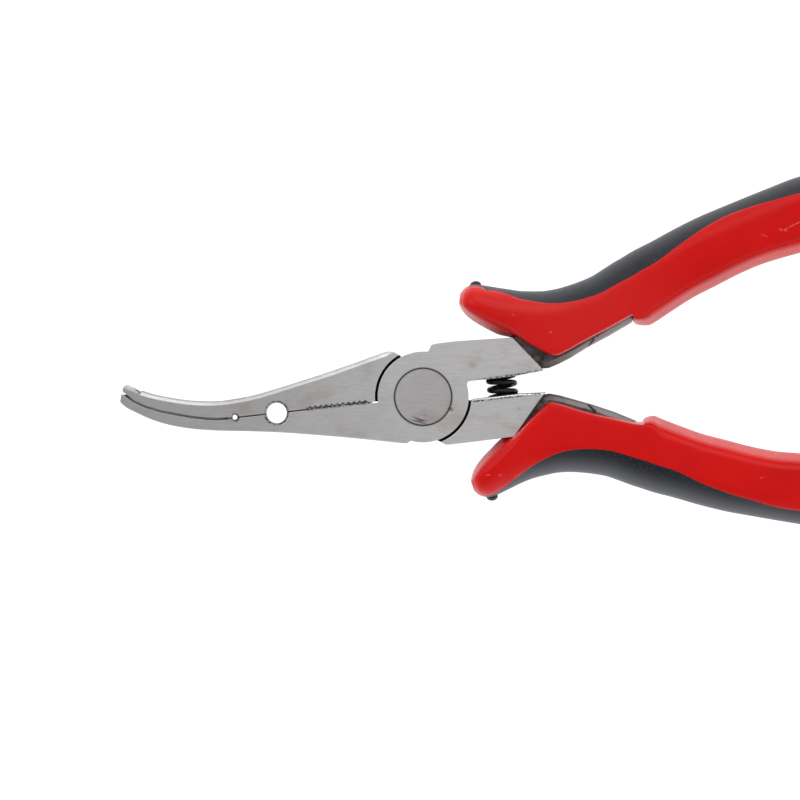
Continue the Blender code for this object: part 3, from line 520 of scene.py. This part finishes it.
def black_wire():
    """Black oiled spring wire."""
    n = Nodes("spring_steel")
    drift = n.noise((1500, 1500, 1500), 3)
    tone = n.mix(n.span(drift, 0.35, 0.65), grey(0.003), grey(0.008))
    n.link(tone, n.shader.inputs["Base Color"])
    n.link(n.span(drift, 0.3, 0.7, 0.30, 0.42), n.shader.inputs["Roughness"])
    n.shader.inputs["Specular IOR Level"].default_value = 0.35
    return n.material


# ---------------------------------------------------------------- shapes

def spline_value(values, position):
    """Smooth curve through equally spaced values, each a Vector, at a fractional position."""
    last = len(values) - 1
    start = min(int(position), last - 1)
    part = position - start
    before, here = values[max(start - 1, 0)], values[start]
    there, after = values[start + 1], values[min(start + 2, last)]
    return 0.5 * (2 * here + (there - before) * part
                  + (2 * before - 5 * here + 4 * there - after) * part ** 2
                  + (3 * here - before - 3 * there + after) * part ** 3)


def table_value(table, rung):
    """A width read from (rung, width) pairs, with smooth steps between them."""
    xs = [first for first, _ in table]
    ys = [Vector((width,) * 2) for _, width in table]
    for i, (low, high) in enumerate(zip(xs, xs[1:])):
        if rung <= high:
            part = max(0.0, (rung - low) / (high - low))
            return max(LEAST_INLAY_REACH, spline_value(ys, i + part).x)
    return table[-1][1]


def outer_point(angle, depth, height):
    """A point on the outer side, a quarter of a superellipse: distance in, and height."""
    power = 2 / OUTER_POWER
    return depth * (1 - math.cos(angle) ** power), height * math.sin(angle) ** power


def drafted_wall(depth, height):
    """The inner side of a section: a leaning wall, then a rounding into the face."""
    wall = Vector((depth * WALL_DEPTH_SHARE, height * WALL_HEIGHT_SHARE))
    corner = Vector((depth * WALL_DEPTH_SHARE / WALL_HEIGHT_SHARE, height))
    face = Vector((depth, height))
    rise = [wall * i / WALL_STEPS for i in range(1, WALL_STEPS)]
    shares = [i / TURN_STEPS for i in range(TURN_STEPS + 1)]
    turn = [wall * (1 - u) ** 2 + corner * 2 * u * (1 - u) + face * u ** 2 for u in shares]
    return [tuple(point) for point in rise + turn]


def grip_rungs(lower):
    """The rungs of one grip."""
    rungs = [Vector(values) for values in GRIP_RUNGS]
    if lower:
        for index, shifts in enumerate(LOWER_GRIP_SHIFTS):
            rungs[index] += Vector((*shifts, 0, 0))
    return rungs


def pocket_side(edge, end, width, depth, height, pocket_open):
    """Two points of the pocket's floor behind the inlay, on one face of a section. The pocket is
    open at 1 and folded out to the surface at 0."""
    brim_t, brim_z = outer_point(end, depth, height)
    wide = min(1.0, max(0.0, (edge - NARROW_REACH) / REACH_TO_WIDE))
    first = (width - max(brim_t - BRIM_INSET, LEAST_DEPTH),
             brim_z - SHALLOW_DROP - DEEPER_DROP * wide)
    second = (max(first[0], width - INLAY_DEPTH), first[1] * FLOOR_SHARE)
    points = []
    for (t, z), share in zip((first, second), CLOSED_SHARES):
        closed_t, closed_z = outer_point(end * share, depth, height)
        points.append((t * pocket_open + (width - closed_t) * (1 - pocket_open),
                       z * pocket_open + closed_z * (1 - pocket_open)))
    return points


def section(rungs, rung, shell, pocket_open):
    """One cross-section of a grip's shell or inlay, as (distance from inner edge, height)."""
    outer_x, outer_y, inner_x, inner_y, rounding, thickness = spline_value(rungs, rung)
    width = math.hypot(outer_x - inner_x, outer_y - inner_y)
    shrink = min(1.0, width / (OUTER_ROUNDING + rounding + LEAST_FLAT))
    height = GRIP_HALF_THICKNESS * min(1.0, thickness)
    inner_depth, outer_depth = rounding * shrink, OUTER_ROUNDING * shrink
    flat_length = width - outer_depth - inner_depth

    def crowned(t, z):
        return t, z * (1 - CROWN / GRIP_HALF_THICKNESS * (2 * t / width - 1) ** 2)

    inner, outer, pocket = [], [], []
    for sign, table in ((1, INLAY_FRONT), (-1, INLAY_BACK)):
        edge = table_value(table, rung)
        reach = min(edge, outer_depth * MOST_INLAY_SHARE) / outer_depth
        end = math.acos((1 - reach) ** (OUTER_POWER / 2))
        flats = [(inner_depth + flat_length * i / FLAT_STEPS, height)
                 for i in range(1, FLAT_STEPS)]
        inner.append([crowned(t, sign * z)
                      for t, z in drafted_wall(inner_depth, height) + flats])
        if shell:
            angles = [end + (math.pi / 2 - end) * i / SHELL_STEPS
                      for i in range(SHELL_STEPS, -1, -1)]
        else:
            angles = [end * i / INLAY_STEPS for i in range(INLAY_STEPS, 0, -1)]
        side = [outer_point(angle, outer_depth, height) for angle in angles]
        outer.append([crowned(width - t, sign * z) for t, z in side])
        floor = pocket_side(edge, end, width, outer_depth, height, pocket_open)
        pocket.append([(t, sign * z) for t, z in floor])
    if shell:
        return ([(0, 0)] + inner[0] + outer[0] + pocket[0]
                + pocket[1][::-1] + outer[1][::-1] + inner[1][::-1])
    return outer[0] + [(width, 0)] + outer[1][::-1] + pocket[1] + pocket[0][::-1]


def skin(shape, rings):
    """Join rings of vertices into one closed skin."""
    for ring, following in zip(rings, rings[1:]):
        for i in range(len(ring)):
            j = (i + 1) % len(ring)
            shape.faces.new((ring[i], ring[j], following[j], following[i]))
    shape.faces.new(rings[0])
    shape.faces.new(rings[-1][::-1])
    bmesh.ops.recalc_face_normals(shape, faces=shape.faces)


def loft(name, rungs, stations, shell):
    """A closed body through a grip's cross-sections, at stations of (rung, pocket_open)."""
    shape = bmesh.new()
    rings = []
    for rung, pocket_open in stations:
        outer_x, outer_y, inner_x, inner_y = spline_value(rungs, rung)[:4]
        inner, outer = Vector((inner_x, inner_y, 0)), Vector((outer_x, outer_y, 0))
        across = (outer - inner).normalized()
        ring = [shape.verts.new((inner + across * t + Vector((0, 0, z))) * MM
                                + Vector((0, 0, MIDDLE)))
                for t, z in section(rungs, rung, shell, pocket_open)]
        rings.append(ring)
    skin(shape, rings)
    return to_object(name, shape)


def to_object(name, shape):
    """Turn a shape into an object in the scene."""
    mesh = bpy.data.meshes.new(name)
    shape.to_mesh(mesh)
    shape.free()
    made = bpy.data.objects.new(name, mesh)
    bpy.context.scene.collection.objects.link(made)
    return made


def apply_modifiers(piece):
    """Turn the evaluated shape into the piece's own mesh."""
    bpy.context.view_layer.update()
    evaluated = piece.evaluated_get(bpy.context.evaluated_depsgraph_get())
    piece.data = bpy.data.meshes.new_from_object(evaluated)
    piece.modifiers.clear()


def welded_copy(node):
    """A closed copy of a CAD node's mesh, for cutting with."""
    shape = bmesh.new()
    shape.from_mesh(node.data)
    bmesh.ops.remove_doubles(shape, verts=shape.verts, dist=0.001 * MM)
    bmesh.ops.recalc_face_normals(shape, faces=shape.faces)
    return to_object(node.name + "_cutter", shape)


def combine(piece, other, operation):
    """Cut another shape out of a piece, or join it on."""
    modifier = piece.modifiers.new(operation.lower(), "BOOLEAN")
    modifier.operation, modifier.solver, modifier.object = operation, "EXACT", other
    apply_modifiers(piece)
    bpy.data.objects.remove(other)


def finish_mesh(piece, angle, finish):
    """Give a piece its material, shaded smooth apart from edges sharper than an angle."""
    piece.data.materials.clear()
    piece.data.materials.append(finish)
    piece.data.shade_smooth()
    piece.data.set_sharp_from_angle(angle=math.radians(angle))


def spread(first, last):
    """Evenly spaced places from one rung to another."""
    count = max(1, round((last - first) / RUNG_STEP))
    return [first + (last - first) * i / count for i in range(count + 1)]


def nub(lower):
    """The rounded nub on the inlay at the horn."""
    x, y = nub_place(lower)
    shape = bmesh.new()
    bmesh.ops.create_uvsphere(shape, u_segments=40, v_segments=24, radius=MM)
    bmesh.ops.scale(shape, vec=NUB_SIZE, verts=shape.verts)
    bmesh.ops.translate(shape, vec=(x * MM, y * MM, MIDDLE), verts=shape.verts)
    return to_object("nub", shape)


def grip(prefix, lower, steel, body, red, dark):
    """The shell and inlay of one handle, over their CAD solids."""
    rungs = grip_rungs(lower)
    before = [(rung, 0) for rung in spread(0, INLAY_FIRST - POCKET_END)]
    along_inlay = [(rung, 1) for rung in spread(INLAY_FIRST, INLAY_LAST)]
    after = [(rung, 0) for rung in spread(INLAY_LAST + POCKET_END, len(rungs) - 1)]
    shell = loft(prefix + "_shell_skin", rungs, before + along_inlay + after, True)
    inlay = loft(prefix + "_inlay_skin", rungs, along_inlay, False)
    combine(inlay, nub(lower), "UNION")
    if lower:
        x, y = LOWER_GRIP_SLIDE
        place = (Matrix.Translation((x * MM, y * MM, MIDDLE)) @ Matrix.Rotation(math.pi, 4, "X")
                 @ Matrix.Translation((0, 0, -MIDDLE)))
        shell.data.transform(place)
        inlay.data.transform(place)
    combine(shell, welded_copy(steel), "DIFFERENCE")
    finish_mesh(shell, GRIP_SMOOTH_ANGLE, red)
    finish_mesh(inlay, GRIP_SMOOTH_ANGLE, dark)
    for piece, node, slot in ((shell, prefix + "_grip_shell", "red_shell"),
                              (inlay, prefix + "_grip_inlay", "grey_inlay")):
        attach(piece, body)
        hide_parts(node)


def spring(finish):
    """A smooth coil between the two pockets, with closed ends."""
    wire = WIRE_RADIUS * MM
    centre_x = (SPRING_LOW.x + SPRING_HIGH.x) / 2
    centre_z = (SPRING_LOW.z + SPRING_HIGH.z) / 2
    radius = (SPRING_HIGH.x - SPRING_LOW.x) / 2 - wire
    low, high = SPRING_LOW.y + wire, SPRING_HIGH.y - wire
    steps = int(SPRING_TURNS * SPRING_STEPS)
    up = Vector((0, 1, 0))
    shape = bmesh.new()
    rings = []
    for i in range(steps + 1):
        part = i / steps
        angle = 2 * math.pi * SPRING_TURNS * part
        rise = part - CLOSED_ENDS * math.sin(2 * math.pi * part)
        out = Vector((math.cos(angle), 0, math.sin(angle)))
        centre = Vector((centre_x, low + (high - low) * rise, centre_z)) + out * radius
        rings.append([shape.verts.new(centre + wire * (out * math.cos(a) + up * math.sin(a)))
                      for a in (2 * math.pi * k / SPRING_SIDES for k in range(SPRING_SIDES))])
    skin(shape, rings)
    coil = to_object("spring_coil", shape)
    finish_mesh(coil, COIL_SMOOTH_ANGLE, finish)
    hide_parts("return_spring")
    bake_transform(coil)


def dress_steel():
    """Finishes and finely rounded edges on the steel pieces."""
    front = ground_steel("ground_steel_front", UPPER_SLANT, UPPER_SLOT_EDGE, RED_BROWN_SHADE,
                         [((9.5, 4.6), 1.1, 0.22), ((4.75, -2.75), 0.6, 0.8)],
                         UPPER_REFLECTION_BAND, (0.36, 0.35, 0.35))
    rear = ground_steel("ground_steel_rear", LOWER_SLANT, LOWER_SLOT_EDGE, SHADE,
                        [((17.0, -4.0), 0.5, 0.25)],
                        LOWER_REFLECTION_BAND, (0.22, 0.21, 0.215))
    finishes = (("front_half", front), ("rear_half", rear), ("pivot_rivet", rivet_steel()))
    for name, finish in finishes:
        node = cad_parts[name]
        for slot in node.material_slots:
            slot.material = finish
        weld = node.modifiers.new("weld", "WELD")
        weld.merge_threshold = 0.001 * MM
        flat = node.modifiers.new("planar", "DECIMATE")
        flat.decimate_type = "DISSOLVE"
        flat.angle_limit = math.radians(FLAT_ANGLE)
        soft = node.modifiers.new("edges", "BEVEL")
        soft.width = EDGE_ROUNDING * MM
        soft.segments = 2
        soft.limit_method = "ANGLE"
        soft.angle_limit = math.radians(EDGE_ANGLE)
        soft.use_clamp_overlap = False


# ---------------------------------------------------------------- stage

def stage():
    """Pale floor, soft studio light and the camera."""
    scene = bpy.context.scene
    scene.view_settings.view_transform = "Standard"
    bpy.ops.mesh.primitive_plane_add(size=FLOOR_SIZE, location=(0, 0, FLOOR_Z - FLOOR_GAP))
    floor = bpy.context.object
    floor.name = "floor"
    n = Nodes("floor")
    n.shader.inputs["Base Color"].default_value = grey(0.25)
    n.shader.inputs["Roughness"].default_value = 0.9
    n.shader.inputs["Specular IOR Level"].default_value = 0.0
    n.shader.inputs["Emission Color"].default_value = grey(1.0)
    n.shader.inputs["Emission Strength"].default_value = 1.0
    floor.data.materials.append(n.material)

    world = bpy.data.worlds.new("studio")
    world.use_nodes = True
    tree = world.node_tree
    direction = tree.nodes.new("ShaderNodeTexCoord").outputs["Generated"]
    toward = tree.nodes.new("ShaderNodeVectorMath")
    toward.operation = "DOT_PRODUCT"
    tree.links.new(direction, toward.inputs[0])
    toward.inputs[1].default_value = Vector(DARK_OVERHEAD).normalized()
    fall = tree.nodes.new("ShaderNodeMapRange")
    fall.interpolation_type = "SMOOTHSTEP"
    tree.links.new(toward.outputs["Value"], fall.inputs["Value"])
    for socket, number in zip(("From Min", "From Max", "To Min", "To Max"), WORLD_FALL):
        fall.inputs[socket].default_value = number
    tree.nodes["Background"].inputs["Color"].default_value = grey(1.0)
    tree.links.new(fall.outputs["Result"], tree.nodes["Background"].inputs["Strength"])
    scene.world = world

    for name, place, size, power in LIGHTS:
        light = bpy.data.lights.new(name, "AREA")
        light.size = size
        light.energy = power
        lamp = bpy.data.objects.new(name, light)
        lamp.location = place
        lamp.rotation_euler = Vector(place).to_track_quat("Z", "Y").to_euler()
        scene.collection.objects.link(lamp)

    lens = bpy.data.cameras.new("camera")
    lens.lens = lens.sensor_width * CAMERA_HEIGHT / VIEW_WIDTH
    lens.clip_start = 0.01
    camera = bpy.data.objects.new("camera", lens)
    camera.location = (*VIEW_CENTRE, HEAD_HIGH.z + CAMERA_HEIGHT)
    camera.rotation_euler = (0, 0, math.radians(VIEW_TURN))
    scene.collection.objects.link(camera)
    scene.camera = camera


stage()
RED, DARK = red_plastic(), grey_rubber()
grip("upper", False, FRONT_STEEL, FRONT, RED, DARK)
grip("lower", True, REAR_STEEL, REAR, RED, DARK)
spring(black_wire())
dress_steel()
